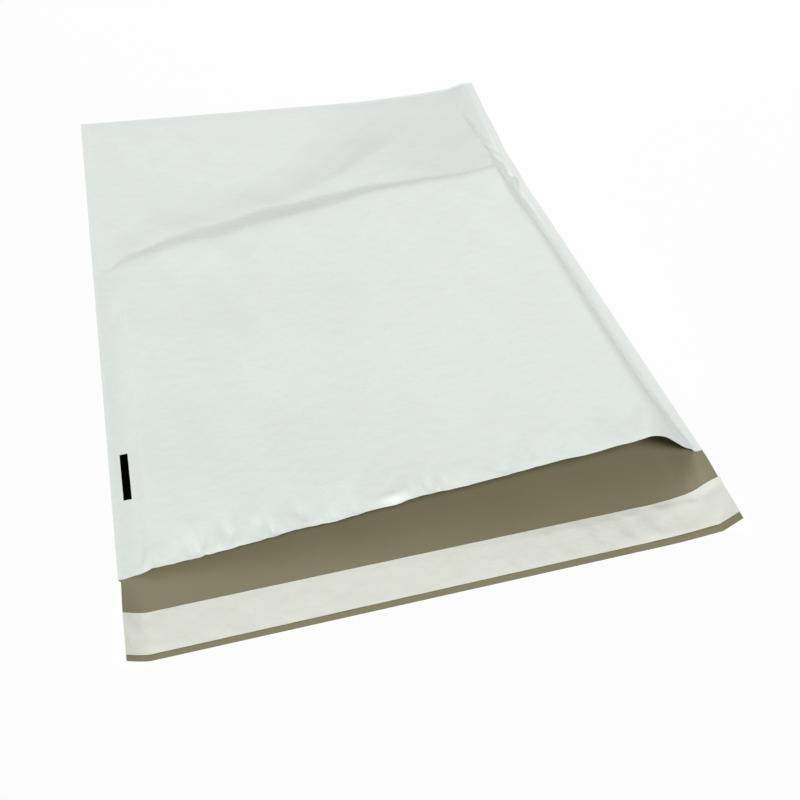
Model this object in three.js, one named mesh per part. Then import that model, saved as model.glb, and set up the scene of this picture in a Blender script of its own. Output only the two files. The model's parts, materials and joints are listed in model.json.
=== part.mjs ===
// A poly mailer bag: one white film web folded at the closed end and welded along both sides,
// with a lip beyond the mouth that carries a band of adhesive under a release liner.
//
// The empty bag lies on its back panel and keeps the wedge form of a filled one: low along the
// left weld, high along a ridge near the right weld, and tented down to the flat closed end.
//
// Millimetres. +X runs across the bag, +Y to the closed end, -Y out of the mouth, +Z up.
// The origin is under the middle of the bag's box, on the surface it lies on.
//
// A place on the film is given by x, measured from the left weld's outer edge, and by t,
// measured along the film from the closed end towards the mouth and on over the lip.

import * as THREE from 'three';

// The web
const LAY_FLAT_WIDTH = 305; // across the bag when it is pressed flat
const POCKET_LENGTH = 394; // closed end to mouth
const LIP_LENGTH = 44; // mouth to the end of the lip
const FILM = 0.5; // wall of the solid, measured upright; the real film is about 0.06
const WELD_WIDTH = 3; // band in which the two panels are one
const LAYER_GAP = 0.4; // air between the panels where they lie on each other
const MOUTH_PULL = 8; // the right side is drawn this much towards the closed end at the mouth

// The wedge that the front panel stands in
const WEDGE_HEIGHT = 34; // underside of the bag to the top of the ridge
const EDGE_RISE = 2; // step up beside the left weld
const EDGE_RISE_WIDTH = 12;
const PINCH = 5; // the panels open smoothly over this distance from a weld

// The right side wall, from the ridge down to the weld
const SEAM_HEIGHT = 9; // the right weld is held this far above the floor
const SEAM_CURL = 14; // the back panel curls up to the right weld over this width
const SEAM_DRAW_IN = 17.5; // how far the right weld is drawn in at its waist
const WAIST_AT = 113; // the waist's distance from the closed end
const WAIST_ROUNDING = 40;
const SEAM_SPLAY = 0.055; // the weld runs outwards again by this much for each millimetre
const WALL_RUN_CLOSED = 17; // ridge to weld in plan, at the closed end
const WALL_RUN_CREASE = 32; // at the crease
const WALL_RUN_MOUTH = 39; // at the mouth

// The crease across the front panel, and the tent from it down to the closed end
const CREASE_AT = 143; // the crease's least distance from the closed end
const CREASE_BOW = 24; // how much nearer the mouth it meets the left weld
const CREASE_CENTRE = 160; // where it lies nearest the closed end, from the left weld
const FOOT_AT = 148; // where the tent's foot leaves the left weld, from the closed end
const FOOT_REACH = 235; // where the foot reaches the closed end, from the left weld
const FOOT_POWER = 1.3; // above 1 bows the foot line out towards the corner
const TENT_POWER_LEFT = 2; // the tent sags in a hollow curve at the left
const TENT_POWER_RIGHT = 1; // and is drawn straight at the right
const CORNER_LIFT = 8; // the far right corner stands off the floor
const CORNER_LIFT_WIDTH = 112;
const CORNER_LIFT_LENGTH = 70;

// The strips on the lip, and the printed mark on the front panel
const SHEET = 0.3; // thickness of each strip and of the mark
const SHEET_GAP = 0.25; // clearance under each of them
const LINER_WIDTH = 22;
const LINER_FROM_END = 3; // bare lip beyond the liner
const ADHESIVE_INSET = 1; // the liner covers the adhesive by this much on each long side
const MARK_WIDTH = 4;
const MARK_LENGTH = 29.5;
const MARK_FROM_WELD = 6.2; // left edge of the bag to the mark
const MARK_FROM_MOUTH = 43.5;

// How finely the curved film is divided
const PANEL_STEPS = 18;
const WALL_STEPS = 11;
const TENT_STEPS = 15;
const POCKET_STEPS = 9;

const LAYERS = 2 * FILM;
const MARK_RIGHT = MARK_FROM_WELD + MARK_WIDTH;
const MOUTH_T = POCKET_LENGTH;
const LIP_T = POCKET_LENGTH + LIP_LENGTH;
const LINER_T = [LIP_T - LINER_FROM_END - LINER_WIDTH, LIP_T - LINER_FROM_END];
const ADHESIVE_T = [LINER_T[0] + ADHESIVE_INSET, LINER_T[1] - ADHESIVE_INSET];

const { clamp, lerp, smoothstep } = THREE.MathUtils;
const share = (value) => clamp(value, 0, 1);
const smooth = (value) => smoothstep(value, 0, 1);

// The numbers 1 to count, each divided by count: the far ends of equal steps.
function steps(count) {
  return Array.from({ length: count }, (_, index) => (index + 1) / count);
}

// The right weld's outer edge. It draws in to a waist where the film tents, as a hyperbola.
function seamX(t) {
  const fromWaist = Math.min(t, MOUTH_T) - WAIST_AT;
  const splay = SEAM_SPLAY * (Math.hypot(fromWaist, WAIST_ROUNDING) - WAIST_ROUNDING);
  return LAY_FLAT_WIDTH - SEAM_DRAW_IN + splay;
}

// The ridge along the front panel's right side.
function ridgeX(t) {
  const tent = lerp(WALL_RUN_CLOSED, WALL_RUN_CREASE, share(t / CREASE_AT));
  const beyond = share((t - CREASE_AT) / (MOUTH_T - CREASE_AT));
  return seamX(t) - tent - (WALL_RUN_MOUTH - WALL_RUN_CREASE) * beyond;
}

function creaseT(x) {
  return CREASE_AT + CREASE_BOW * ((x - CREASE_CENTRE) / CREASE_CENTRE) ** 2;
}

function footT(x) {
  return Math.max(WELD_WIDTH, FOOT_AT * (1 - (x / FOOT_REACH) ** FOOT_POWER));
}

// The lifted corner, as seen along the closed end.
function cornerLift(x, t) {
  return CORNER_LIFT * share(1 - (seamX(t) - x) / CORNER_LIFT_WIDTH) ** 2;
}

// Underside of the back panel and the lip: flat on the floor, curled up to the right weld, and
// lifted at the far right corner.
function undersideZ(x, t) {
  const curl = SEAM_HEIGHT * share(1 - (seamX(t) - x) / SEAM_CURL) ** 1.5;
  const lift = cornerLift(x, t) * share(1 - t / CORNER_LIFT_LENGTH) ** 2;
  return curl + lift - (curl * lift) / Math.max(SEAM_HEIGHT, CORNER_LIFT);
}

// Top of the front panel from the left weld to the ridge: a plane that climbs to the ridge, and
// beyond the crease a tent that falls from it to the closed end.
function panelZ(x, t) {
  const crease = creaseT(x);
  const inside = Math.max(x - WELD_WIDTH, 0);
  const climb = (WEDGE_HEIGHT - LAYERS - EDGE_RISE) / (ridgeX(Math.max(t, crease)) - WELD_WIDTH);
  const wedge = LAYERS + EDGE_RISE * smooth(inside / EDGE_RISE_WIDTH) + climb * inside;
  if (t >= crease) {
    return wedge;
  }
  const foot = footT(x);
  const base = LAYERS + LAYER_GAP + cornerLift(x, 0);
  const power = lerp(TENT_POWER_LEFT, TENT_POWER_RIGHT, share(x / ridgeX(t)));
  return lerp(base, wedge, share((t - foot) / (crease - foot)) ** power);
}

// Top of the whole front: the panel, the side wall that falls from the ridge in an S to the
// weld, and the welds, where the two panels lie together.
function frontZ(x, t) {
  const weld = seamX(t) - WELD_WIDTH;
  const ridge = ridgeX(t);
  const together = undersideZ(x, t) + LAYERS;
  const toe = undersideZ(weld, t) + LAYERS;
  const wall = lerp(toe, panelZ(ridge, t), smooth((weld - x) / (weld - ridge)));
  const top = x <= ridge ? panelZ(x, t) : wall;
  const fromWeld = Math.min(x - WELD_WIDTH, weld - x, t - WELD_WIDTH);
  return together + smooth(fromWeld / PINCH) * Math.max(LAYER_GAP, top - together);
}

// The film's own places, turned into the bag's frame.
function point(x, t, z) {
  const pull = MOUTH_PULL * (x / LAY_FLAT_WIDTH) * (t / POCKET_LENGTH);
  return new THREE.Vector3(x - seamX(MOUTH_T) / 2, LIP_T / 2 - t + pull, z);
}

// The columns of the film's grid, from weld to weld, at the distance t.
function columnsX(t) {
  const ridge = ridgeX(t);
  const weld = seamX(t) - WELD_WIDTH;
  return [
    0,
    WELD_WIDTH,
    MARK_FROM_WELD,
    MARK_RIGHT,
    ...steps(PANEL_STEPS).map((step) => lerp(MARK_RIGHT, ridge, step)),
    ...steps(WALL_STEPS).map((step) => lerp(ridge, weld, step)),
    seamX(t),
  ];
}

// The rows of the film's grid, from the closed end to the lip's end, for the column at x.
function rowsT(x) {
  const crease = creaseT(x);
  return [
    0,
    WELD_WIDTH,
    ...steps(TENT_STEPS).map((step) => lerp(WELD_WIDTH, crease, step)),
    ...steps(POCKET_STEPS).map((step) => lerp(crease, MOUTH_T, step)),
    LINER_T[0],
    ADHESIVE_T[0],
    ADHESIVE_T[1],
    LINER_T[1],
    LIP_T,
  ];
}

// Collects vertices and four-cornered faces, given in turning order as seen from outside.
class Skin {
  constructor() {
    this.positions = [];
    this.index = [];
  }

  vertex(place) {
    this.positions.push(place.x, place.y, place.z);
    return this.positions.length / 3 - 1;
  }

  // The face is split from corner a to corner c.
  face(a, b, c, d) {
    this.index.push(a, b, c, a, c, d);
  }

  // A grid of faces over rows and columns of vertices. Each cell is split so that a cut runs out
  // from the grid's far corners, and facing is 1 for a top and -1 for an underside.
  sheet(grid, [firstRow, lastRow], [firstColumn, lastColumn], facing) {
    for (let row = firstRow; row < lastRow; row += 1) {
      for (let column = firstColumn; column < lastColumn; column += 1) {
        const corners = [
          grid[row][column],
          grid[row + 1][column],
          grid[row + 1][column + 1],
          grid[row][column + 1],
        ];
        if (column >= (firstColumn + lastColumn) / 2) {
          corners.push(corners.shift());
        }
        this.face(...(facing > 0 ? corners : corners.reverse()));
      }
    }
  }

  // A strip of faces between two lines of vertices, the lower one first, that faces to the right
  // of someone who walks along them.
  strip(lower, upper) {
    for (let step = 0; step + 1 < lower.length; step += 1) {
      this.face(lower[step], lower[step + 1], upper[step + 1], upper[step]);
    }
  }

  geometry() {
    const geometry = new THREE.BufferGeometry();
    geometry.setAttribute('position', new THREE.Float32BufferAttribute(this.positions, 3));
    geometry.setIndex(this.index);
    geometry.computeVertexNormals();
    return geometry;
  }
}

function column(grid, number) {
  return grid.map((row) => row[number]);
}

// A thin slab that follows the film: its lower and upper sides are grids over the same places.
function slabGeometry(places, surfaceZ, clearance) {
  const skin = new Skin();
  const level = (height) =>
    places.map((row) => row.map(([x, t]) => skin.vertex(point(x, t, surfaceZ(x, t) + height))));
  const lower = level(clearance);
  const upper = level(clearance + SHEET);
  const lastRow = places.length - 1;
  const lastColumn = places[0].length - 1;
  skin.sheet(lower, [0, lastRow], [0, lastColumn], -1);
  skin.sheet(upper, [0, lastRow], [0, lastColumn], 1);
  skin.strip(lower[lastRow], upper[lastRow]);
  skin.strip(lower[0].toReversed(), upper[0].toReversed());
  skin.strip(column(lower, 0), column(upper, 0));
  skin.strip(column(lower, lastColumn).toReversed(), column(upper, lastColumn).toReversed());
  return skin.geometry();
}

// The whole web as one closed body: the outside, and the pocket's inside from weld to weld.
function filmGeometry() {
  const skin = new Skin();
  const nominal = columnsX(CREASE_AT);
  const rowCount = rowsT(0).length;
  const places = Array.from({ length: rowCount }, (_, row) =>
    nominal.map((nominalX, number) => {
      const t = rowsT(nominalX)[row];
      return [columnsX(t)[number], t];
    }),
  );
  const level = (rows, heightAt) =>
    rows.map((row) => row.map(([x, t]) => skin.vertex(point(x, t, heightAt(x, t)))));

  const lastRow = rowCount - 1;
  const lastColumn = nominal.length - 1;
  const mouthRow = 1 + TENT_STEPS + POCKET_STEPS;
  const pocket = places.slice(0, mouthRow + 1);

  const under = level(places, undersideZ);
  const floor = level(places, (x, t) => undersideZ(x, t) + FILM);
  const top = level(pocket, frontZ);
  // The inside of the front panel, which is the floor's own line on the welds.
  const ceiling = pocket.map((row, rowNumber) =>
    row.map(([x, t], number) =>
      Math.min(rowNumber, number, lastColumn - number) <= 1
        ? floor[rowNumber][number]
        : skin.vertex(point(x, t, frontZ(x, t) - FILM)),
    ),
  );

  skin.sheet(under, [0, lastRow], [0, lastColumn], -1);
  skin.sheet(top, [0, mouthRow], [0, lastColumn], 1);
  skin.sheet(floor, [1, mouthRow], [1, lastColumn - 1], 1);
  skin.sheet(ceiling, [1, mouthRow], [1, lastColumn - 1], -1);
  skin.sheet(floor, [mouthRow, lastRow], [0, lastColumn], 1);

  // The closed end, the lip's end and both long sides. The sides meet the floor's own vertices
  // part way up, because beyond the mouth only that lower half goes on.
  const backwards = (line) => line.toReversed();
  skin.strip(backwards(under[0]), backwards(floor[0]));
  skin.strip(backwards(floor[0]), backwards(top[0]));
  skin.strip(under[lastRow], floor[lastRow]);
  const floorPocket = floor.slice(0, mouthRow + 1);
  skin.strip(column(under, 0), column(floor, 0));
  skin.strip(column(floorPocket, 0), column(top, 0));
  skin.strip(backwards(column(under, lastColumn)), backwards(column(floor, lastColumn)));
  skin.strip(backwards(column(floorPocket, lastColumn)), backwards(column(top, lastColumn)));

  // The front panel's cut edge at the mouth, and the ends of the two welds beside it.
  skin.strip(ceiling[mouthRow], top[mouthRow]);
  return skin.geometry();
}

// A strip across the whole lip between two distances, on the film's own columns and rows.
function lipStripGeometry(stations, clearance) {
  const places = stations.map((t) => columnsX(t).map((x) => [x, t]));
  return slabGeometry(places, (x, t) => undersideZ(x, t) + FILM, clearance);
}

function markGeometry() {
  const end = MOUTH_T - MARK_FROM_MOUTH;
  const places = [end - MARK_LENGTH, end].map((t) => [
    [MARK_FROM_WELD, t],
    [MARK_RIGHT, t],
  ]);
  return slabGeometry(places, frontZ, SHEET_GAP);
}

function piece(name, geometry, look) {
  const mesh = new THREE.Mesh(geometry, new THREE.MeshStandardMaterial(look));
  mesh.name = name;
  return mesh;
}

const linerStations = [LINER_T[0], ...ADHESIVE_T, LINER_T[1]];
const mailer = new THREE.Group();
mailer.add(
  piece('film_envelope', filmGeometry(), { color: 0xe0e6e2, roughness: 0.45, metalness: 0 }),
  piece('adhesive_strip', lipStripGeometry(ADHESIVE_T, SHEET_GAP), {
    color: 0xcfc9b4,
    roughness: 0.25,
    metalness: 0,
  }),
  piece('release_liner', lipStripGeometry(linerStations, 2 * SHEET_GAP + SHEET), {
    color: 0xd6dad0,
    roughness: 0.3,
    metalness: 0,
  }),
  piece('registration_mark', markGeometry(), { color: 0x030302, roughness: 0.5, metalness: 0 }),
);

export default mailer;
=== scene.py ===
"""Visual model of a poly mailer bag that lies on its back with its mouth held open as a wedge.

A place on the film is given by x, measured from the left weld's outer edge, and by t, measured
along the film from the closed end to the mouth and on over the lip. Both are arrays in metres.
"""

import json
import logging
import math
from dataclasses import dataclass, field
from enum import Enum

import bpy
import numpy as np
from bpy.types import Light, Material, NodeSocket, NodeTree, Object
from mathutils import Matrix, Vector

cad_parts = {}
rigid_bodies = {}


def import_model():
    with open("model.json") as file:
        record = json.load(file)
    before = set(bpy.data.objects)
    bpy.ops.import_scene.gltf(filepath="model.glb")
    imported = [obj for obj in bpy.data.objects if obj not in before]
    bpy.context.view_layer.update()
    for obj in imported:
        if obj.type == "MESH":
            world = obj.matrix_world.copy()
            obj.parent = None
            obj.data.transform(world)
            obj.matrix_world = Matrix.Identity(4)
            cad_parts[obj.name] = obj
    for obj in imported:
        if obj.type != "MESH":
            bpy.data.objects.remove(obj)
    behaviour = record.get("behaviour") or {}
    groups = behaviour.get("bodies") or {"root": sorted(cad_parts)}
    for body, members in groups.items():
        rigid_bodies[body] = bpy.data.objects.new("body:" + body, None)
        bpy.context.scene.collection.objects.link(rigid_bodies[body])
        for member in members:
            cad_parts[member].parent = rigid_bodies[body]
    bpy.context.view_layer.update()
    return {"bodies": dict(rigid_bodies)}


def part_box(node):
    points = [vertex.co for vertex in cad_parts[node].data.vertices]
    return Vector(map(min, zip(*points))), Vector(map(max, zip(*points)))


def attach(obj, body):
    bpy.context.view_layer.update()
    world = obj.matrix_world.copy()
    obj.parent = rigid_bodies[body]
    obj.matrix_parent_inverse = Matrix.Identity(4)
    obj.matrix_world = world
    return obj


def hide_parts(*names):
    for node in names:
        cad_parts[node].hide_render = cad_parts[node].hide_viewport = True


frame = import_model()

LOG = logging.getLogger("mailer")
BODY = next(iter(frame["bodies"]))
Array = np.ndarray


def share(value: Array) -> Array:
    """Limits a value to the range from 0 to 1."""
    return np.clip(value, 0.0, 1.0)


def smooth(value: Array) -> Array:
    """Rises from 0 to 1 with level ends: three times the square less twice the cube."""
    part = share(value)
    return part * part * (3.0 - 2.0 * part)


def mix(low: Array, high: Array, part: Array) -> Array:
    """Goes in a straight line from low, where part is 0, to high, where part is 1."""
    return low + (high - low) * part


def bell(distance: Array, width: Array) -> Array:
    """A bell curve of height 1, which falls to about a third at the distance width."""
    return np.exp(-((distance / width) ** 2))


@dataclass(frozen=True)
class Ramp:
    """A soft ramp: 0 at its start, and its full height one run farther on.

    A negative run turns it round.
    """

    start: float
    run: float
    tall: float = 1.0

    def __call__(self, place: Array) -> Array:
        """The ramp's height at a place."""
        return self.tall * smooth((place - self.start) / self.run)


@dataclass(frozen=True)
class Hump:
    """A bell curve: its place, its width and its height."""

    at: float
    width: float
    tall: float = 1.0

    def __call__(self, place: Array) -> Array:
        """The hump's height at a place."""
        return self.tall * bell(place - self.at, self.width)


@dataclass(frozen=True)
class Sine:
    """A sine wave: its height, the length in which its angle grows by 1, and its phase."""

    tall: float
    step: float
    phase: float = 0.0

    def __call__(self, place: Array) -> Array:
        """The wave's height at a place."""
        return self.tall * np.sin(place / self.step + self.phase)


@dataclass(frozen=True)
class Ripples:
    """Waves of random direction and phase, as slack film ripples.

    Shortest and longest limit the distance from crest to crest.
    """

    tall: float
    shortest: float
    longest: float
    count: int
    seed: int

    def __call__(self, x: Array, t: Array) -> Array:
        """Sums the waves.

        Args:
            x: Places across the film.
            t: Places along the film.

        Returns:
            The sum, whose mean square is half the square of the height.
        """
        rng = np.random.default_rng(self.seed)
        turn = rng.uniform(0.0, math.pi, self.count)
        length = rng.uniform(self.shortest, self.longest, self.count)
        start = rng.uniform(0.0, 2.0 * math.pi, self.count)
        total = np.zeros(np.broadcast(x, t).shape)
        for angle, wave, phase in zip(turn, length, start):
            along = x * math.cos(angle) + t * math.sin(angle)
            total += np.cos(2.0 * math.pi * along / wave + phase)
        return self.tall * (total / math.sqrt(self.count))


@dataclass(frozen=True)
class Fold:
    """A fold along a line: where the line starts, how far it leans for each metre, its height."""

    start: float
    lean: float
    tall: float


@dataclass(frozen=True)
class Pinches:
    """Short pinches that run in from the mouth's cut edge.

    Each is a narrow bell across the edge, which dies away with the distance from it. Their
    places, widths and lengths are random, and they are thickest at the left. The deep ones have
    places of their own.
    """

    seed: int = 5
    count: int = 64
    first: float = 0.012
    stretch: float = 0.245
    crowding: float = 1.5
    width: tuple[float, float] = (0.0010, 0.0020)
    reach: tuple[float, float] = (0.005, 0.014)
    height: tuple[float, float] = (0.0005, 0.0012)
    fade: float = 0.60
    lean: float = 0.25
    share_at_edge: float = 0.4
    grow: Ramp = Ramp(0.0, 0.003)
    deep: tuple[Fold, ...] = (
        Fold(0.056, -0.3, -0.0010),
        Fold(0.066, 0.1, -0.0008),
        Fold(0.089, -0.15, -0.0011),
    )
    deep_width: float = 0.0026
    deep_reach: Hump = Hump(0.008, 0.006)

    def __call__(self, x: Array, inward: Array) -> Array:
        """Height of the pinches at a place and its distance inward from the edge."""
        rng = np.random.default_rng(self.seed)
        at = self.first + self.stretch * rng.uniform(0.0, 1.0, self.count) ** self.crowding
        width = rng.uniform(*self.width, self.count)
        reach = rng.uniform(*self.reach, self.count)
        height = rng.uniform(*self.height, self.count) * (1.0 - self.fade * at / at.max())
        lean = rng.uniform(-self.lean, self.lean, self.count)
        height[::2] *= -1.0
        total = np.zeros(np.broadcast(x, inward).shape)
        for centre, wide, long, tall, slant in zip(at, width, reach, height, lean):
            across = x - centre - slant * inward
            total += tall * bell(across, wide) * bell(inward, long)
        total = total * mix(self.share_at_edge, 1.0, self.grow(inward))
        for fold in self.deep:
            across = x - fold.start - fold.lean * inward
            total += fold.tall * bell(across, self.deep_width) * self.deep_reach(inward)
        return total


@dataclass(frozen=True)
class EdgeWave:
    """The mouth's edge stands a little off a straight line, with one small turned-up flare."""

    reach: float = 0.016
    short: Sine = Sine(0.0004, 0.0105, 0.6)
    long: Sine = Sine(0.0005, 0.0246, 2.0)
    left_lift: Hump = Hump(0.086, 0.010, 0.0008)
    right_lift: Hump = Hump(0.244, 0.009, 0.0014)
    flare: Hump = Hump(0.131, 0.006, 0.0009)
    flare_crest: Hump = Hump(0.0045, 0.0028)
    dip: Hump = Hump(0.133, 0.006, 0.0013)
    dip_reach: float = 0.0028
    grow: Ramp = Ramp(0.01, 0.03)

    def __call__(self, x: Array, inward: Array) -> Array:
        """Height of the wave at a place and its distance inward from the edge."""
        wave = self.short(x) + self.long(x)
        lifted = self.left_lift(x) + self.right_lift(x)
        flare = self.flare(x) * self.flare_crest(inward)
        flare = flare - self.dip(x) * bell(inward, self.dip_reach)
        return bell(inward, self.reach) * (wave + lifted) * self.grow(x) + flare


@dataclass(frozen=True)
class Darts:
    """Creases of the side wall at the waist, where the film is drawn in.

    Each is a dart: the bell of the distance from a slanted line, wide and high at the weld and
    pointed at the ridge.
    """

    folds: tuple[Fold, ...] = (
        Fold(0.126, 1.5, 0.0036),
        Fold(0.139, 1.5, -0.0014),
        Fold(0.114, 1.5, -0.0014),
    )
    reach: float = 0.024
    width: float = 0.0048
    point: float = 0.0010
    ripples: Ripples = Ripples(0.0005, 0.010, 0.022, 5, 31)
    around: Hump = Hump(0.125, 0.045)
    from_weld: Ramp = Ramp(0.0, 0.004)
    from_panel: Ramp = Ramp(-0.030, 0.01)

    def __call__(self, x: Array, t: Array, seam: Array, weld: float) -> Array:
        """Height of the darts, given the right weld's outer edge and its width."""
        total = np.zeros(np.broadcast(x, t).shape)
        inward = seam - x
        near = share(1.0 - inward / self.reach)
        for fold in self.folds:
            across = t - fold.start - fold.lean * inward
            total += fold.tall * near * bell(across, self.width * near + self.point)
        total += self.ripples(x, t) * self.around(t)
        return total * self.from_weld(seam - weld - x) * self.from_panel(x - seam)


@dataclass
class FilmForm:
    """The bag's form: heights of its film over a place (x, t), in metres.

    The outer sizes come from the frame. The rest are the sizes of the folds.
    """

    width: float
    length: float
    height: float

    # The web
    wall: float = 0.0002
    lip: float = 0.0425
    lay_flat: float = 0.305
    weld: float = 0.003
    layer_gap: float = 0.0004
    pull: float = 0.008
    lip_inset: float = 0.0012
    lip_skew: float = 0.0029
    lip_skew_run: float = 0.0175

    # The right weld's line
    draw_in: float = 0.0175
    waist: float = 0.113
    waist_rounding: float = 0.040
    splay: float = 0.055
    seam_bow: Hump = Hump(0.19, 0.15, 0.0011)
    lip_flare: Ramp = Ramp(0.0, 0.030, 0.0012)
    seam_wave: Sine = Sine(0.00035, 0.0085)
    wave_from: Ramp = Ramp(0.02, 0.03)
    wave_until: Ramp = Ramp(0.20, -0.05)

    # The ridge's run from the weld
    run_corner: float = 0.006
    run_tent: float = 0.0215
    run_pocket: float = 0.0275
    run_mouth: float = 0.036
    to_tent: Ramp = Ramp(-0.010, 0.080)
    to_pocket: Ramp = Ramp(0.085, 0.105)
    to_mouth: Ramp = Ramp(0.366, 0.028)

    # The crease's line, and how worn it is
    crease: float = 0.1492
    crease_step: Ramp = Ramp(0.195, -0.125, 0.0111)
    crease_slope: float = 0.217
    crease_bend: float = 0.0535
    crease_end: Ramp = Ramp(0.210, 0.030, 0.0022)
    crease_tolerance: float = 1e-5
    worn: Hump = Hump(0.0, 0.0035, 0.0005)
    worn_from: Ramp = Ramp(0.004, 0.012)
    worn_right: float = 0.35
    worn_left: Ramp = Ramp(0.20, -0.08)

    # The steep stretch beyond the crease
    drop_least: float = 0.005
    drop_lens: Hump = Hump(0.120, 0.075, 0.0230)
    drop_point: float = 0.05
    drop_opens: Ramp = Ramp(0.006, 0.016)
    drop_slope: float = 0.44
    drop_most: float = 0.73
    drop_power: float = 1.2

    # The knee, from which the film falls again
    knee_gap: float = 0.0085
    knee_gap_left: float = 0.012
    knee_left: float = 0.05
    knee_slope: float = 0.4
    knee_slope_from: float = 0.135
    knee_curve: float = 10.0
    knee_curve_from: float = 0.160
    knee_least: float = 0.004
    knee_round: float = 0.006

    # The fall from the knee
    reach_left: float = 0.022
    reach_middle: float = 0.058
    reach_grows: Ramp = Ramp(0.0, 0.10)
    reach_right: Ramp = Ramp(0.130, 0.05, 0.06)
    hollow: float = 2.2
    gentle_slope: float = 0.04
    gentle_end: float = 0.05
    straight: Ramp = Ramp(0.150, 0.090)

    # The mouth's cut
    cut_back: float = 0.0046
    cut_from: float = 0.262
    cut_start: float = 0.340
    cut_at_end: float = 0.30

    # The back panel
    seam_height: float = 0.009
    seam_curl: float = 0.0125
    flange: float = 0.020
    flange_welds: float = 1.6
    lip_curl: Ramp = Ramp(0.397, 0.020)
    lip_curl_height: float = 0.83
    lip_curl_power: float = 1.1
    lip_curl_share: float = 0.76
    lip_curl_narrows: Ramp = Ramp(0.410, 0.028)
    left_curl: float = 0.0052
    left_curl_width: float = 0.0115
    left_curl_power: float = 1.4
    left_curl_grows: Ramp = Ramp(0.0, 0.018)
    corner_lift: float = 0.008
    lift_width: float = 0.112
    lift_length: float = 0.062

    # The front panel's plane
    edge_rise: float = 0.0024
    edge: Ramp = Ramp(0.007, 0.008)
    puff: Hump = Hump(0.0048, 0.0045, 0.0003)
    mouth_sag: Ramp = Ramp(0.360, 0.035, 0.0008)
    sag_right: Ramp = Ramp(0.200, 0.05)

    # The film drawn up to the ridge
    ridge_far: Ramp = Ramp(0.150, -0.05)
    ridge_high: float = 0.0008
    ridge_high_far: float = 0.0018
    ridge_corner: Ramp = Ramp(0.05, -0.03, 0.0005)
    ridge_width: float = 0.011
    ridge_width_far: float = 0.020
    ridge_power: float = 1.5

    # The side wall
    margin: float = 0.004
    margin_from: Ramp = Ramp(0.12, 0.08)
    margin_until: Ramp = Ramp(0.392, -0.05)
    wall_fold: Ramp = Ramp(0.215, -0.06, 0.9)
    wall_power: float = 1.6
    wall_hollow: Hump = Hump(0.095, 0.035, 0.8)
    plump: Ramp = Ramp(0.15, 0.06, 0.0010)
    plump_mouth: Ramp = Ramp(0.370, 0.02, 0.0015)
    plump_foot: Ramp = Ramp(0.0, 0.006)
    darts: Darts = Darts()

    # The film's slack
    broad: Ripples = Ripples(0.00045, 0.05, 0.12, 7, 11)
    middle: Ripples = Ripples(0.00020, 0.022, 0.05, 9, 13)
    fine: Ripples = Ripples(0.00007, 0.010, 0.022, 9, 12)
    tension_folds: tuple[Fold, ...] = (
        Fold(0.074, 0.10, 0.0007),
        Fold(0.094, -0.06, -0.0006),
        Fold(0.126, 0.05, 0.0006),
        Fold(0.040, 0.12, -0.0004),
        Fold(0.165, -0.08, 0.0004),
    )
    tension_width: float = 0.0040
    tension_reach: Hump = Hump(0.016, 0.013)
    pinches: Pinches = Pinches()
    edge_wave: EdgeWave = EdgeWave()
    slack_side: Ramp = Ramp(0.0, 0.012)
    slack_end: Ramp = Ramp(0.0, 0.03)
    pinch: float = 0.005

    @property
    def mouth(self) -> float:
        """Distance of the mouth from the closed end."""
        return self.length - self.lip

    @property
    def layers(self) -> float:
        """Thickness of the two panels where they are one."""
        return 2.0 * self.wall

    def seam_x(self, t: Array) -> Array:
        """Outer edge of the right weld: a hyperbola with its waist where the film tents."""
        from_waist = np.minimum(t, self.mouth) - self.waist
        splay = self.splay * (np.hypot(from_waist, self.waist_rounding) - self.waist_rounding)
        splay = splay + self.seam_bow(t) + self.lip_flare(t - self.mouth)
        wave = self.seam_wave(t) * self.wave_from(t) * self.wave_until(t)
        return self.lay_flat - self.draw_in + splay + wave

    def ridge_x(self, t: Array) -> Array:
        """The ridge along the front panel.

        It leaves the far corner, and its run from the weld grows in three soft steps.
        """
        run = mix(self.run_corner, self.run_tent, self.to_tent(t))
        run = run + (self.run_pocket - self.run_tent) * self.to_pocket(t)
        run = run + (self.run_mouth - self.run_pocket) * self.to_mouth(t)
        return self.seam_x(t) - self.weld - run

    def crease_t(self, x: Array) -> Array:
        """The crease across the front panel. It bends towards the mouth, most at its left."""
        step = self.crease_step(x) + self.crease_slope * np.maximum(self.crease_bend - x, 0.0)
        return self.crease + step + self.crease_end(x)

    def drop_run(self, x: Array) -> Array:
        """Length of the steep stretch beyond the crease: a lens that is pointed at the left."""
        lens = self.drop_least + self.drop_lens(x)
        return lens * mix(self.drop_point, 1.0, self.drop_opens(x))

    def knee_t(self, x: Array) -> Array:
        """Where the film bends down again: just beyond the steep stretch, then ever farther off."""
        gap = self.knee_gap + self.knee_gap_left * share(1.0 - x / self.knee_left)
        away = self.knee_slope * np.maximum(x - self.knee_slope_from, 0.0)
        away = away + self.knee_curve * np.maximum(x - self.knee_curve_from, 0.0) ** 2
        return np.maximum(self.crease_t(x) - self.drop_run(x) - gap - away, self.weld + self.knee_least)

    def cut(self, x: Array, t: Array) -> Array:
        """How far a place lies nearer the closed end, because the mouth is cut back at the right."""
        back = self.cut_back * smooth((x - self.cut_from) / (self.lay_flat - self.cut_from))
        before = smooth((t - self.cut_start) / (self.mouth - self.cut_start))
        after = mix(self.cut_at_end, 1.0, share((self.length - t) / self.lip))
        return back * np.where(t <= self.mouth, before, after)

    def lift(self, x: Array, t: Array) -> Array:
        """Height of the lifted far right corner: a square curve that starts inside the seam."""
        return self.corner_lift * share(1.0 - (self.seam_x(t) - x) / self.lift_width) ** 2

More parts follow.
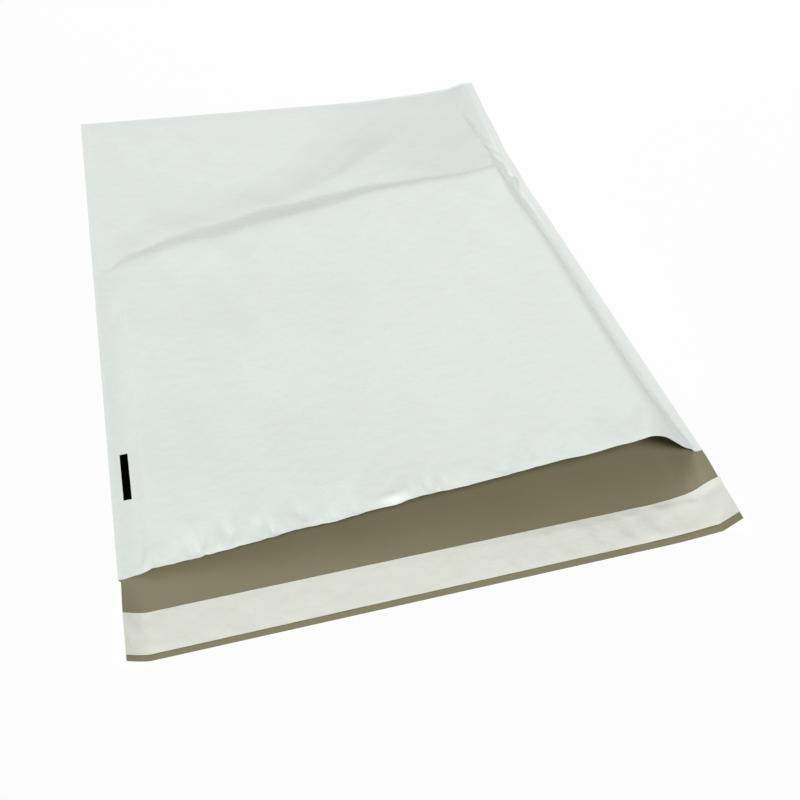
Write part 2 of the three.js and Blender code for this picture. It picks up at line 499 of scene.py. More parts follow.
    def underside(self, x: Array, t: Array) -> Array:
        """Underside of the back panel: level, curled up to the right weld, lifted at the corner.

        Along the pocket the curl is an S that ends level, and on the lip it runs nearly straight.
        The lip's left corner curls up too.
        """
        from_seam = self.seam_x(t) - x
        flange = smooth((self.flange - from_seam) / (self.flange - self.flange_welds * self.weld))
        width = self.seam_curl * mix(1.0, self.lip_curl_share, self.lip_curl_narrows(t))
        steep = self.lip_curl_height * share(1.0 - from_seam / width) ** self.lip_curl_power
        curl = self.seam_height * mix(flange, steep, self.lip_curl(t))
        lift = self.lift(x, t) * smooth(1.0 - t / self.lift_length)
        left = self.left_curl * share(1.0 - x / self.left_curl_width) ** self.left_curl_power
        left = left * self.left_curl_grows(t - self.mouth)
        return curl + left + lift - curl * lift / max(self.seam_height, self.corner_lift)

    def wedge(self, x: Array, t: Array) -> Array:
        """The front panel's plane: a puffed edge beside the left weld, then a climb to the ridge."""
        inside = np.maximum(x - self.weld, 0.0)
        ridge = self.ridge_x(np.maximum(t, self.crease_t(x)))
        climb = (self.height - self.layers - self.edge_rise) / (ridge - self.weld)
        rise = self.edge_rise * self.edge(inside) + self.puff(x)
        sag = self.mouth_sag(t) * self.sag_right(x)
        return self.layers + rise + climb * inside - sag

    def ridge_rise(self, x: Array, t: Array) -> Array:
        """Film drawn up to the ridge: a power curve beside it, highest in the far corner."""
        far = self.ridge_far(t)
        high = self.ridge_high + self.ridge_high_far * far + self.ridge_corner(t)
        width = mix(self.ridge_width, self.ridge_width_far, far)
        return high * share(1.0 - (self.ridge_x(t) - x) / width) ** self.ridge_power

    def tent(self, x: Array, t: Array) -> Array:
        """The film beyond the crease.

        It drops at the crease, most at the middle of the left half, goes on in a gentle slope,
        falls again from the knee and runs out level, by a power curve averaged over a short
        stretch. To the right the whole turns into a straight slope down to the closed end.
        """
        crease = self.crease_t(x)
        top = self.wedge(x, t)
        base = self.layers + self.layer_gap + self.lift(x, np.zeros_like(t))
        run = self.drop_run(x)
        drop = np.minimum(self.drop_slope * run, self.drop_most * np.maximum(top - base, 0.0))
        beyond = share((crease - t) / run)
        dropped = drop * (1.0 - (1.0 - beyond) ** self.drop_power)
        knee = self.knee_t(x)
        reach = mix(self.reach_left, self.reach_middle, self.reach_grows(x)) + self.reach_right(x)
        reach = np.minimum(reach, knee - self.weld)
        power = self.hollow + 1.0

        def area(place: Array) -> Array:
            """Area under the power curve from the foot to a place, and on over the knee."""
            part = share((place - knee + reach) / reach)
            return reach / power * part**power + np.maximum(place - knee, 0.0)

        half = self.knee_round
        kneed = (area(t + half) - area(t - half)) / (2.0 * half)
        gentle = self.gentle_slope * np.maximum(crease - run - t, 0.0)
        gentle = gentle * smooth((t - self.weld) / self.gentle_end)
        left = np.maximum(top - base - drop, 0.0)
        even = share((t - self.weld) / (crease - run - self.weld))
        height = mix(np.maximum(left - gentle, 0.0) * kneed, left * even, self.straight(x))
        return base + height + drop - dropped

    def panel(self, x: Array, t: Array) -> Array:
        """Top of the front panel from the left weld to the ridge."""
        near = t >= self.crease_t(x) - self.crease_tolerance
        return np.where(near, self.wedge(x, t), self.tent(x, t)) + self.ridge_rise(x, t)

    def slack(self, x: Array, t: Array) -> Array:
        """Slack of the front panel, added to its height: soft ripples and an uneven mouth edge."""
        worn = self.worn(t - self.crease_t(x)) * self.worn_from(x)
        worn = worn * mix(self.worn_right, 1.0, self.worn_left(x))
        waves = self.broad(x, t) + self.middle(x, t) + self.fine(x, t) + self.tension(x, t)
        inward = self.mouth - t
        return waves - worn + self.pinches(x, inward) + self.edge_wave(x, inward)

    def tension(self, x: Array, t: Array) -> Array:
        """Soft folds that run from the crease towards the mouth and die away."""
        total = np.zeros(np.broadcast(x, t).shape)
        past = t - self.crease_t(x)
        for fold in self.tension_folds:
            across = x - fold.start - fold.lean * past
            total += fold.tall * bell(across, self.tension_width) * self.tension_reach(past)
        return total

    def wall_height(self, x: Array, t: Array) -> Array:
        """The side wall: an S from the margin beside the right weld up to the ridge.

        Near the closed end it leaves the ridge at an angle, as a fold does.
        """
        weld = self.seam_x(t) - self.weld
        ridge = self.ridge_x(t)
        toe = self.underside(weld, t) + self.layers
        foot = self.margin * self.margin_from(t) * self.margin_until(t)
        part = share((weld - x - foot) / (weld - ridge - foot))
        power = self.wall_power + self.wall_hollow(t)
        rise = mix(smooth(part), part**power, self.wall_fold(t))
        plump = (self.plump(t) + self.plump_mouth(t)) * self.plump_foot(weld - x)
        return toe + plump + (self.panel(ridge, t) - toe - plump) * rise

    def front(self, x: Array, t: Array) -> Array:
        """Top of the whole front: the panel, the side wall, the welds and the film's slack.

        Near a weld the two panels close up.
        """
        seam = self.seam_x(t)
        weld = seam - self.weld
        together = self.underside(x, t) + self.layers
        top = np.where(x <= self.ridge_x(t), self.panel(x, t), self.wall_height(x, t))
        quiet = self.slack_side(x - self.weld) * self.slack_side(weld - x) * self.slack_end(t)
        top = top + self.slack(x, t) * quiet + self.darts(x, t, seam, self.weld)
        from_weld = np.minimum(np.minimum(x - self.weld, weld - x), t - self.weld)
        opened = 1.0 - share(1.0 - from_weld / self.pinch) ** 2
        return together + opened * np.maximum(self.layer_gap, top - together)

    def place(self, x: Array, t: Array, z: Array) -> Array:
        """Turns places on the film into points of the bag's frame.

        The right side is drawn towards the closed end in proportion to both x and t, and the
        lip's left end the other way.
        """
        pull = self.pull * (x / self.lay_flat) * (t / self.mouth)
        skew = self.lip_skew * share((t - self.mouth) / self.lip_skew_run) * (1.0 - x / self.lay_flat)
        return np.stack([x - self.width / 2.0, self.length / 2.0 - t + pull - skew, z], axis=-1)


@dataclass
class Surface:
    """Vertices, triangles and their material numbers, gathered as whole arrays.

    The marks are named values of each vertex, which a finish reads.
    """

    points: list[Array] = field(default_factory=list)
    faces: list[Array] = field(default_factory=list)
    looks: list[Array] = field(default_factory=list)
    marks: dict[str, Array] = field(default_factory=dict)
    count: int = 0

    def grid(self, points: Array) -> Array:
        """Adds a grid of vertices.

        Args:
            points: Rows by columns by three coordinates.

        Returns:
            The vertices' numbers, rows by columns.
        """
        rows, columns = points.shape[:2]
        numbers = self.count + np.arange(rows * columns).reshape(rows, columns)
        self.points.append(points.reshape(-1, 3))
        self.count += rows * columns
        return numbers

    def quads(self, corners: list[Array], look: int) -> None:
        """Adds four-cornered faces, each split from its first corner to its third.

        Args:
            corners: Four arrays of vertex numbers, in turning order as seen from outside.
            look: The faces' material number.
        """
        a, b, c, d = (corner.ravel() for corner in corners)
        for triangle in ((a, b, c), (a, c, d)):
            self.faces.append(np.stack(triangle, axis=1))
            self.looks.append(np.full(a.size, look))

    def sheet(self, grid: Array, up: bool, look: int) -> None:
        """Adds the faces of a grid. The splits run out from the far corners of both halves.

        Both faces of the film are split alike, so that a twisted cell keeps its thickness.

        Args:
            grid: Vertex numbers, rows by columns; a higher row lies nearer the mouth.
            up: Whether the faces look up.
            look: The faces' material number.
        """
        half = grid.shape[1] // 2
        for part, turn in ((grid[:, : half + 1], 0), (grid[:, half:], 1)):
            corners = [part[:-1, :-1], part[1:, :-1], part[1:, 1:], part[:-1, 1:]]
            corners = corners[turn:] + corners[:turn]
            self.quads(corners if up else corners[:1] + corners[:0:-1], look)

    def strip(self, lower: Array, upper: Array, look: int) -> None:
        """Adds a strip between two lines of vertices. It faces right of someone who walks them."""
        self.quads([lower[:-1], lower[1:], upper[1:], upper[:-1]], look)

    def skirt(self, lower: Array, upper: Array, look: int) -> None:
        """Closes the four sides between two grids of the same shape."""
        self.strip(lower[-1], upper[-1], look)
        self.strip(lower[0, ::-1], upper[0, ::-1], look)
        self.strip(lower[:, 0], upper[:, 0], look)
        self.strip(lower[::-1, -1], upper[::-1, -1], look)

    def piece(self, name: str, finishes: list[Material], crisp: float = 50.0) -> Object:
        """Makes the mesh and its object.

        Args:
            name: The piece's name.
            finishes: Its materials, in the order of the material numbers.
            crisp: Edges sharper than this angle, in degrees, are shaded as edges.

        Returns:
            The object, linked to the scene.
        """
        points = np.concatenate(self.points)
        faces = np.concatenate(self.faces)
        used, faces = np.unique(faces, return_inverse=True)
        faces = faces.reshape(-1, 3)
        mesh = bpy.data.meshes.new(name)
        mesh.vertices.add(used.size)
        mesh.vertices.foreach_set("co", points[used].ravel())
        mesh.loops.add(faces.size)
        mesh.loops.foreach_set("vertex_index", faces.ravel())
        mesh.polygons.add(len(faces))
        mesh.polygons.foreach_set("loop_start", np.arange(0, faces.size, 3))
        for mark, values in self.marks.items():
            layer = mesh.attributes.new(mark, "FLOAT", "POINT")
            layer.data.foreach_set("value", values[used])
        for finish in finishes:
            mesh.materials.append(finish)
        mesh.polygons.foreach_set("material_index", np.concatenate(self.looks))
        mesh.polygons.foreach_set("use_smooth", np.ones(len(faces), dtype=bool))
        mesh.update(calc_edges=True)
        mesh.set_sharp_from_angle(angle=math.radians(crisp))
        mesh.validate()
        made = bpy.data.objects.new(name, mesh)
        bpy.context.scene.collection.objects.link(made)
        return made


class Side(Enum):
    """The film's two faces, by material number."""

    OUTSIDE = 0
    INSIDE = 1


def spread(ends: list[float], counts: list[int]) -> Array:
    """Even steps from each end to the next, without the doubles where they meet.

    Args:
        ends: The stretches' ends, in order.
        counts: How many steps each stretch has.

    Returns:
        All the stations.
    """
    stretches = zip(ends[:-1], ends[1:], counts)
    stations = [np.linspace(low, high, count, endpoint=False) for low, high, count in stretches]
    return np.concatenate([*stations, [ends[-1]]])


@dataclass
class FilmEnvelope:
    """The white web: front panel, back panel and lip, as one closed body."""

    form: FilmForm
    outside: Material
    inside: Material
    end_rows: int = 2
    tent_rows: int = 56
    pocket_rows: int = 22
    edge_rows: int = 18
    edge_band: float = 0.022
    lip_rows: int = 8
    fine_reach: float = 0.155
    fine_columns: int = 118
    plain_columns: int = 44
    wall_columns: int = 34
    crowding: float = 0.6
    lip_start: float = 0.004
    inset_reach: float = 0.01
    crisp: float = 70.0
    # Painted shade in the left margin: its width, its fades and its ragged edge.
    pressed_width: float = 0.0150
    pressed_fade: Ramp = Ramp(0.0, 0.010)
    pressed_from: Ramp = Ramp(0.0004, 0.0016)
    pressed_crease: Ramp = Ramp(-0.006, 0.010)
    ragged: Ripples = Ripples(0.0018, 0.012, 0.05, 6, 61)

    def rows(self, crease: Array) -> Array:
        """The grid's t. The rows lie closer together towards the crease.

        Args:
            crease: Where the crease lies, for each column.

        Returns:
            t, rows by columns: the closed end, the tent, the pocket, the mouth and the lip.
        """
        form = self.form
        rows = [np.zeros_like(crease), np.full_like(crease, form.weld / 2.0)]
        even = np.linspace(0.0, 1.0, self.tent_rows + 1)
        close = even * (1.0 + self.crowding - self.crowding * even)
        rows += [mix(form.weld, crease, step) for step in close]
        soft = form.mouth - self.edge_band
        even = np.linspace(0.0, 1.0, self.pocket_rows + 1)[1:]
        close = even * (1.0 - self.crowding + self.crowding * even)
        rows += [mix(crease, soft, step) for step in close]
        stops = [*np.linspace(soft, form.mouth, self.edge_rows + 1)[1:], form.mouth + form.lip_inset]
        stops += [*np.linspace(form.mouth + self.lip_start, form.length, self.lip_rows)]
        rows += [np.full_like(crease, stop) for stop in stops]
        return np.stack(rows)

    def columns(self, panel: Array, t: Array) -> Array:
        """The grid's x: the panel's columns follow the ridge, the wall's fill up to the weld.

        Args:
            panel: The panel's columns, as parts of the way to the ridge.
            t: The grid's t, rows by columns.

        Returns:
            x, rows by columns.
        """
        form = self.form
        ridge = form.ridge_x(t[:, :1])
        seam = form.seam_x(t[:, -1:])
        across = panel * ridge
        across[:, 0] = form.weld
        wall = mix(ridge, seam - form.weld, np.linspace(0.0, 1.0, self.wall_columns + 1)[1:])
        return np.concatenate([np.zeros_like(ridge), across, wall, seam], axis=1)

    def stations(self) -> tuple[Array, Array, int]:
        """The grid's places. One row is led along the crease in three rounds.

        Returns:
            x and t of each vertex, rows by columns, and the mouth's row.
        """
        form = self.form
        crease_row = self.tent_rows + self.end_rows
        ridge = float(form.ridge_x(np.array(form.crease)))
        fine = np.linspace(form.weld, self.fine_reach, self.fine_columns, endpoint=False)
        panel = np.concatenate([fine, np.linspace(self.fine_reach, ridge, self.plain_columns)]) / ridge
        x = self.columns(panel, np.full((1, 2), form.crease))
        for _ in range(3):
            t = self.rows(form.crease_t(np.minimum(x[min(crease_row, len(x) - 1)], ridge)))
            x = self.columns(panel, t)
        t = t - form.cut(x, t)
        mouth_row = crease_row + self.pocket_rows + self.edge_rows
        return self.columns(panel, t), t, mouth_row

    def pressed(self, x: Array, t: Array) -> Array:
        """Painted shade: is 1 in the left margin and fades out towards a ragged line about 15 mm in, from
        just short of the crease to the mouth.
        """
        near = self.pressed_fade(self.pressed_width + self.ragged(x, t) - x) * self.pressed_from(x)
        return near * self.pressed_crease(t - self.form.crease_t(x))

    def build(self) -> Object:
        """Builds the web, white outside and on its cut edges and grey inside.

        Returns:
            The film's object.
        """
        form = self.form
        x, t, mouth = self.stations()
        outside = Side.OUTSIDE.value
        inside = Side.INSIDE.value
        surface = Surface()
        inset = form.lip_inset * smooth((t - form.mouth) / form.lip_inset)
        inset = inset * (1.0 - share(x / self.inset_reach))
        under_z = form.underside(x + inset, t)
        under = surface.grid(form.place(x + inset, t, under_z))
        floor = surface.grid(form.place(x + inset, t, under_z + form.wall))
        front_z = form.front(x, t)[: mouth + 1]
        pocket_x = x[: mouth + 1]
        pocket_t = t[: mouth + 1]
        pocket_floor = floor[: mouth + 1]
        top = surface.grid(form.place(pocket_x, pocket_t, front_z))
        ceiling = surface.grid(form.place(pocket_x, pocket_t, front_z - form.wall))
        first = self.end_rows
        on_weld = np.zeros(ceiling.shape, dtype=bool)
        on_weld[: first + 1] = True
        on_weld[:, [0, 1, -2, -1]] = True
        ceiling = np.where(on_weld, pocket_floor, ceiling)

        surface.sheet(under, False, outside)
        surface.sheet(top, True, outside)
        surface.sheet(floor[first : mouth + 1, 1:-1], True, inside)
        surface.sheet(ceiling[first:, 1:-1], False, inside)
        surface.sheet(floor[mouth:], True, inside)
        surface.skirt(under, floor, outside)
        surface.strip(pocket_floor[0, ::-1], top[0, ::-1], outside)
        surface.strip(pocket_floor[:, 0], top[:, 0], outside)
        surface.strip(pocket_floor[::-1, -1], top[::-1, -1], outside)
        surface.strip(ceiling[mouth], top[mouth], outside)
        below = np.zeros(under.size + floor.size)
        # Painted shade: the top and the ceiling carry the left margin's mask, which darkens the white
        # film.
        margin = self.pressed(pocket_x, pocket_t).ravel()
        surface.marks["pressed"] = np.concatenate([below, margin, margin])
        film = surface.piece("film_web", [self.outside, self.inside], self.crisp)
        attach(film, BODY)
        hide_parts("film_envelope")
        return film


def slab(form: FilmForm, x: Array, t: Array, z: Array, depth: float) -> Surface:
    """A thin closed slab that follows the film.

    Args:
        form: The bag's form.
        x: Places across the film.
        t: Places along the film.
        z: Heights of the slab's underside.
        depth: Its thickness.

    Returns:
        The slab's surface.
    """
    surface = Surface()
    lower = surface.grid(form.place(x, t, z))
    upper = surface.grid(form.place(x, t, z + depth))
    surface.sheet(lower, False, 0)
    surface.sheet(upper, True, 0)
    surface.skirt(lower, upper, 0)
    return surface


@dataclass
class LipStrips:
    """The adhesive on the lip and the release liner that covers it."""

    form: FilmForm
    adhesive: Material
    liner: Material
    liner_width: float = 0.0216
    skew: float = 0.0010
    from_end: float = 0.003
    adhesive_inset: float = 0.001
    lift_off: float = 0.00012
    adhesive_depth: float = 0.00012
    liner_depth: float = 0.00008
    pucker: float = 0.00018
    waves: Ripples = Ripples(1.1, 0.009, 0.026, 8, 41)
    long_edge: Ramp = Ramp(0.0, 0.004)
    share_at_edge: float = 0.25
    right_more: Ramp = Ramp(0.235, 0.03, 1.4)
    left_more: Ramp = Ramp(0.025, -0.015, 0.8)
    right_end: Ramp = Ramp(-0.002, 0.010)
    left_end: Ramp = Ramp(-0.001, 0.008)
    columns: int = 300
    curl_columns: int = 24
    rows: int = 16

    def band(self, name: str, start: float, end: float, level: float, depth: float) -> Surface:
        """A thin closed band across the lip that follows the film.

        Args:
            name: What it is, for the log.
            start: Its edge nearer the mouth, as a distance from the closed end.
            end: Its other edge.
            level: Height of its underside over the film.
            depth: Its thickness.

        Returns:
            The band's surface.
        """
        form = self.form
        t = np.linspace(start, end, self.rows + 1)[:, None]
        seam = float(form.seam_x(np.array(form.length)))
        flat = spread([form.lip_inset, seam - form.seam_curl, seam], [self.columns, self.curl_columns])
        x = np.broadcast_to(flat, (t.size, flat.size))
        t = t - self.skew * x / form.lay_flat - form.cut(x, t)
        z = form.underside(x, t) + form.wall + level
        if name == "liner":
            z = z + self.puckers(x, t, start, end)
        surface = slab(form, x, t, z, depth)
        LOG.info("%s: %d vertices", name, surface.count)
        return surface

    def puckers(self, x: Array, t: Array, start: float, end: float) -> Array:
        """Small puckers of the liner, never below the adhesive, and lower at its edges."""
        edges = self.long_edge(t - start) * self.long_edge(end - t)
        ends = 1.0 + self.right_more(x) + self.left_more(x)
        from_right = x.max(axis=1, keepdims=True) - x
        ends = ends * self.right_end(from_right) * self.left_end(x)
        waves = 1.0 + np.sin(self.waves(x, t))
        return self.pucker * ends * waves * mix(self.share_at_edge, 1.0, edges)

    def build(self) -> list[Object]:
        """Builds both strips.

        Returns:
            The adhesive's and the liner's objects.
        """
        end = self.form.length - self.from_end
        start = end - self.liner_width
        inset = self.adhesive_inset
        over = self.lift_off + self.adhesive_depth + self.lift_off / 2.0
        sticky = self.band("adhesive", start + inset, end - inset, self.lift_off, self.adhesive_depth)
        cover = self.band("liner", start, end, over, self.liner_depth)
        pieces = [
            sticky.piece("adhesive_band", [self.adhesive]),
            cover.piece("liner_strip", [self.liner]),
        ]
        for made, node, slot in zip(pieces, ("adhesive_strip", "release_liner"), ("adhesive", "liner")):
            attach(made, BODY)
            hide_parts(node)
        return pieces


@dataclass
class PrintedMark:
    """The black bar printed on the front panel near the left weld."""

    form: FilmForm
    ink: Material
    from_weld: float = 0.0058
    width: float = 0.004
    length: float = 0.0300
    from_mouth: float = 0.0456
    lift_off: float = 0.00005
    depth: float = 0.00003
    columns: int = 8
    rows: int = 30

    def build(self) -> Object:
        """Builds the bar as a film of ink that follows the panel.

        Returns:
            The mark's object.
        """
        form = self.form
        end = form.mouth - self.from_mouth
        across = np.linspace(self.from_weld, self.from_weld + self.width, self.columns + 1)
        along = np.linspace(end - self.length, end, self.rows + 1)[:, None]
        x = np.broadcast_to(across, (along.size, across.size))
        t = np.broadcast_to(along, x.shape)
        z = form.front(x, t) + self.lift_off
        mark = slab(form, x, t, z, self.depth).piece("printed_bar", [self.ink])
        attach(mark, BODY)
        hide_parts("registration_mark")
        return mark


def joined(tree: NodeTree, operation: str, first: NodeSocket, second: NodeSocket) -> NodeSocket:
    """Joins two values by a Math node.

    Args:
        tree: The node tree.
        operation: What the node does.
        first: Its first value.
        second: Its second value.

    Returns:
        The node's result.
    """
    node = tree.nodes.new("ShaderNodeMath")
    node.operation = operation
    tree.links.new(first, node.inputs[0])
    tree.links.new(second, node.inputs[1])
    return node.outputs[0]


def film_grain() -> NodeTree:
    """Node group for blown film: soft mottling, streaks along the web, and a fine grain.

    Returns:
        The group. Mottle runs from 0 to 1, and Height is for a Bump node.
    """
    group = bpy.data.node_groups.new("film_grain", "ShaderNodeTree")
    face = group.interface
    face.new_socket(name="Vector", in_out="INPUT", socket_type="NodeSocketVector")
    inputs = {"Mottle Scale": 18.0, "Pucker Scale": 90.0, "Streak Scale": 260.0, "Grain Scale": 1400.0}
    inputs |= {"Pucker Depth": 0.5, "Streak Depth": 0.2, "Grain Depth": 0.1}
    for name, value in inputs.items():
        socket = face.new_socket(name=name, in_out="INPUT", socket_type="NodeSocketFloat")
        socket.default_value = value
    for name in ("Mottle", "Height"):
        face.new_socket(name=name, in_out="OUTPUT", socket_type="NodeSocketFloat")
    nodes, links = group.nodes, group.links
    source = nodes.new("NodeGroupInput")
    result = nodes.new("NodeGroupOutput")

    def noise(scale: str, detail: float, stretch: tuple[float, float, float]) -> NodeSocket:
        """A noise of the given scale input, drawn out along the axes by stretch."""
        mapping = nodes.new("ShaderNodeMapping")
        mapping.inputs["Scale"].default_value = stretch
        links.new(source.outputs["Vector"], mapping.inputs["Vector"])
        texture = nodes.new("ShaderNodeTexNoise")
        texture.inputs["Detail"].default_value = detail
        links.new(mapping.outputs["Vector"], texture.inputs["Vector"])
        links.new(source.outputs[scale], texture.inputs["Scale"])
        return texture.outputs["Fac"]

    even = (1.0, 1.0, 1.0)
    drawn_out = (1.0, 0.04, 1.0)
    links.new(noise("Mottle Scale", 3.0, even), result.inputs["Mottle"])
    total = joined(group, "MULTIPLY", noise("Pucker Scale", 2.0, even), source.outputs["Pucker Depth"])
    layers = (("Streak Scale", drawn_out, "Streak Depth"), ("Grain Scale", even, "Grain Depth"))
    for scale, stretch, depth in layers:
        layer = joined(group, "MULTIPLY", noise(scale, 2.0, stretch), source.outputs[depth])
        total = joined(group, "ADD", total, layer)
    links.new(total, result.inputs["Height"])
    return group


@dataclass(frozen=True)
class Finish:
    """A plastic surface: two tints that mottle into each other, a gloss range and a relief.

    Where the mesh carries the painted shade mark, the base colour is darkened by the given share: painted
    shade.
    """

    name: str
    tint: tuple[float, float, float]
    shade: tuple[float, float, float]
    gloss: tuple[float, float]
    relief: float
    specular: float = 0.5
    coat: float = 0.0
    coat_roughness: float = 0.25
    pressed: float = 0.0
    grain: tuple[tuple[str, float], ...] = ()

    def material(self, group: NodeTree) -> Material:
        """Makes the material.

        Args:
            group: The film grain group.

        Returns:
            The material, with its pattern on Object coordinates.
        """
        made = bpy.data.materials.new(self.name)
        made.use_nodes = True
        nodes, links = made.node_tree.nodes, made.node_tree.links
        shader = nodes["Principled BSDF"]
        shader.inputs["Specular IOR Level"].default_value = self.specular
        shader.inputs["Coat Weight"].default_value = self.coat
        shader.inputs["Coat Roughness"].default_value = self.coat_roughness
        where = nodes.new("ShaderNodeTexCoord")
        pattern = nodes.new("ShaderNodeGroup")
        pattern.node_tree = group
        for name, value in self.grain:
            pattern.inputs[name].default_value = value
        links.new(where.outputs["Object"], pattern.inputs["Vector"])

        blend = nodes.new("ShaderNodeMix")
        blend.data_type = "RGBA"
        blend.inputs["A"].default_value = (*self.shade, 1.0)
        blend.inputs["B"].default_value = (*self.tint, 1.0)
        links.new(pattern.outputs["Mottle"], blend.inputs["Factor"])
        # Painted shade: darkens the base colour where the painted shade mark is set.
        dimmed = nodes.new("ShaderNodeMix")
        dimmed.data_type = "RGBA"
        dimmed.blend_type = "MULTIPLY"
        dimmed.inputs["B"].default_value = (*(1.0 - self.pressed,) * 3, 1.0)
        margin = nodes.new("ShaderNodeAttribute")
        margin.attribute_name = "pressed"
        links.new(margin.outputs["Fac"], dimmed.inputs["Factor"])
        links.new(blend.outputs["Result"], dimmed.inputs["A"])
        links.new(dimmed.outputs["Result"], shader.inputs["Base Color"])

        rough = nodes.new("ShaderNodeMapRange")
        rough.inputs["To Min"].default_value = self.gloss[0]
        rough.inputs["To Max"].default_value = self.gloss[1]
        links.new(pattern.outputs["Mottle"], rough.inputs["Value"])
        links.new(rough.outputs["Result"], shader.inputs["Roughness"])

        bump = nodes.new("ShaderNodeBump")
        bump.inputs["Strength"].default_value = 1.0
        bump.inputs["Distance"].default_value = self.relief
        links.new(pattern.outputs["Height"], bump.inputs["Height"])
        links.new(bump.outputs["Normal"], shader.inputs["Normal"])
        return made


WHITE_FILM = Finish(
    name="white_film",
    tint=(0.752, 0.797, 0.767),
    shade=(0.728, 0.773, 0.743),
    gloss=(0.36, 0.50),
    relief=0.00045,
    # Painted shade: darkens the left margin by this share.
    pressed=0.038,
    grain=(("Pucker Scale", 170.0), ("Pucker Depth", 0.75), ("Grain Scale", 700.0), ("Grain Depth", 0.16)),
)
GREY_FILM = Finish(
    name="grey_film",
    tint=(0.224, 0.204, 0.120),
    shade=(0.196, 0.178, 0.102),
    gloss=(0.40, 0.55),
    relief=0.0003,
)
ADHESIVE = Finish(
    name="hot_melt",
    tint=(0.58, 0.53, 0.40),
    shade=(0.52, 0.47, 0.35),
    gloss=(0.12, 0.25),
    relief=0.0004,
    coat=0.4,
)
LINER = Finish(
    name="silicone_liner",
    tint=(0.76, 0.77, 0.70),
    shade=(0.70, 0.71, 0.64),
    gloss=(0.22, 0.38),
    relief=0.0005,
    coat=0.3,
    grain=(("Mottle Scale", 60.0), ("Pucker Scale", 160.0), ("Pucker Depth", 0.8)),
)
INK = Finish(
    name="black_ink",
    tint=(0.0014, 0.0014, 0.0012),
    shade=(0.0010, 0.0010, 0.0008),
    gloss=(0.55, 0.70),
    relief=0.0001,
    specular=0.0,
)


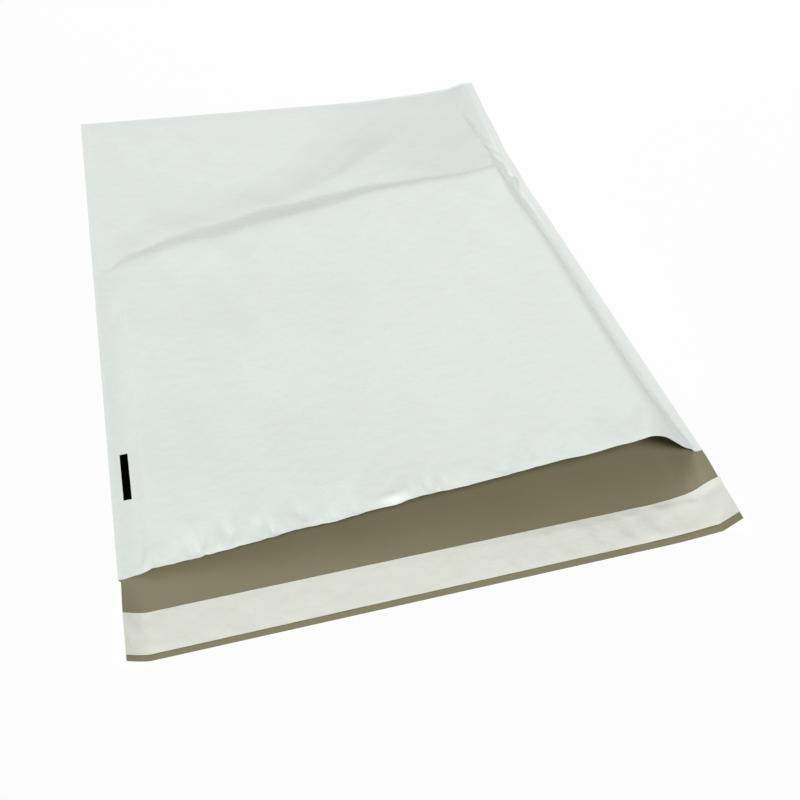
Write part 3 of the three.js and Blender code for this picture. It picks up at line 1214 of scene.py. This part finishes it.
@dataclass
class Studio:
    """The floor, the lights and the camera."""

    floor_size: float = 8.0
    floor_tint: float = 0.98
    floor_glow: float = 0.65
    sky: float = 0.22
    sun_from: tuple[float, float, float] = (-0.16, -0.60, 0.80)
    sun_spread: float = 14.0
    sun_strength: float = 2.8
    lamp_at: tuple[float, float, float] = (0.30, 0.70, 0.90)
    lamp_size: float = 0.5
    lamp_watts: float = 0.8
    camera_at: tuple[float, float, float] = (-0.11469, -0.46487, 0.40733)
    camera_turn: float = 17.86
    camera_dip: float = 45.94
    camera_roll: float = 4.83
    lens: float = 46.47
    sensor: float = 36.0

    def floor(self) -> Object:
        """A plain pale floor that looks white to the camera and keeps the bag's soft shadow."""
        half = self.floor_size / 2.0
        corners = [(-half, -half, 0.0), (half, -half, 0.0), (half, half, 0.0), (-half, half, 0.0)]
        mesh = bpy.data.meshes.new("floor")
        mesh.from_pydata(corners, [], [(0, 1, 2, 3)])
        made = bpy.data.objects.new("floor", mesh)
        bpy.context.scene.collection.objects.link(made)
        mesh.materials.append(self.floor_material())
        return made

    def seen(self, tree: NodeTree) -> NodeSocket:
        """Is 1 where the surface is seen, straight, in a reflection or through a clear body."""
        path = tree.nodes.new("ShaderNodeLightPath")
        total = path.outputs["Is Camera Ray"]
        for name in ("Is Glossy Ray", "Is Transmission Ray"):
            total = joined(tree, "MAXIMUM", total, path.outputs[name])
        return total

    def floor_material(self) -> Material:
        """White paper, lifted to white for camera rays so that only the shadow shows."""
        made = bpy.data.materials.new("floor")
        made.use_nodes = True
        nodes, links = made.node_tree.nodes, made.node_tree.links
        shader = nodes["Principled BSDF"]
        shader.inputs["Base Color"].default_value = (*(self.floor_tint,) * 3, 1.0)
        shader.inputs["Roughness"].default_value = 0.9
        shader.inputs["Specular IOR Level"].default_value = 0.1
        glow = nodes.new("ShaderNodeEmission")
        glow.inputs["Color"].default_value = (1.0, 1.0, 1.0, 1.0)
        amount = nodes.new("ShaderNodeMath")
        amount.operation = "MULTIPLY"
        amount.inputs[1].default_value = self.floor_glow
        links.new(self.seen(made.node_tree), amount.inputs[0])
        blend = nodes.new("ShaderNodeMixShader")
        links.new(amount.outputs[0], blend.inputs["Fac"])
        links.new(shader.outputs["BSDF"], blend.inputs[1])
        links.new(glow.outputs["Emission"], blend.inputs[2])
        links.new(blend.outputs["Shader"], nodes["Material Output"].inputs["Surface"])
        return made

    def world(self) -> None:
        """Even white light from all round, and plain white where the camera looks past the floor."""
        world = bpy.data.worlds.new("studio")
        bpy.context.scene.world = world
        world.use_nodes = True
        nodes, links = world.node_tree.nodes, world.node_tree.links
        sky = nodes["Background"]
        sky.inputs["Color"].default_value = (1.0, 1.0, 1.0, 1.0)
        strength = nodes.new("ShaderNodeMapRange")
        strength.inputs["To Min"].default_value = self.sky
        strength.inputs["To Max"].default_value = 1.0
        links.new(self.seen(world.node_tree), strength.inputs["Value"])
        links.new(strength.outputs["Result"], sky.inputs["Strength"])

    def aim(self, light: Light, at: tuple[float, float, float]) -> None:
        """Adds a light to the scene, turned to the bag.

        Args:
            light: The light.
            at: Its place, or for a sun its direction from the bag.
        """
        made = bpy.data.objects.new(light.name, light)
        made.location = at
        made.rotation_euler = (-Vector(at)).to_track_quat("-Z", "Y").to_euler()
        bpy.context.scene.collection.objects.link(made)

    def sun(self) -> None:
        """A soft key light that is even over the whole bag. Its spread is in degrees."""
        light = bpy.data.lights.new("key", "SUN")
        light.angle = math.radians(self.sun_spread)
        light.energy = self.sun_strength
        self.aim(light, self.sun_from)

    def lamp(self) -> None:
        """A soft square lamp beyond the closed end."""
        light = bpy.data.lights.new("rim", "AREA")
        light.shape = "SQUARE"
        light.size = self.lamp_size
        light.energy = self.lamp_watts
        self.aim(light, self.lamp_at)

    def camera(self) -> Object:
        """The camera: it stands at the bag's front left, looks down, and leans a little.

        Returns:
            The scene's camera.
        """
        data = bpy.data.cameras.new("camera")
        data.lens = self.lens
        data.sensor_width = self.sensor
        data.clip_start = 0.01
        made = bpy.data.objects.new("camera", data)
        turn = Matrix.Rotation(-math.radians(self.camera_turn), 4, "Z")
        dip = Matrix.Rotation(math.radians(90.0 - self.camera_dip), 4, "X")
        roll = Matrix.Rotation(math.radians(self.camera_roll), 4, "Z")
        made.matrix_world = Matrix.Translation(self.camera_at) @ turn @ dip @ roll
        bpy.context.scene.collection.objects.link(made)
        bpy.context.scene.camera = made
        return made

    def build(self) -> None:
        """Builds the whole studio."""
        self.floor()
        self.world()
        self.sun()
        self.lamp()
        self.camera()
        bpy.context.scene.view_settings.view_transform = "Standard"


def main() -> None:
    low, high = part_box("film_envelope")
    size = high - low
    form = FilmForm(width=size.x, length=size.y, height=size.z)
    grain = film_grain()
    studio = Studio()
    studio.build()
    film = FilmEnvelope(form, WHITE_FILM.material(grain), GREY_FILM.material(grain)).build()
    strips = LipStrips(form, ADHESIVE.material(grain), LINER.material(grain)).build()
    mark = PrintedMark(form, INK.material(grain)).build()
    for made in (film, *strips, mark):
        LOG.info("%s: %d faces", made.name, len(made.data.polygons))


if __name__ == "__main__":
    logging.basicConfig(level=logging.INFO, format="%(message)s")
    main()
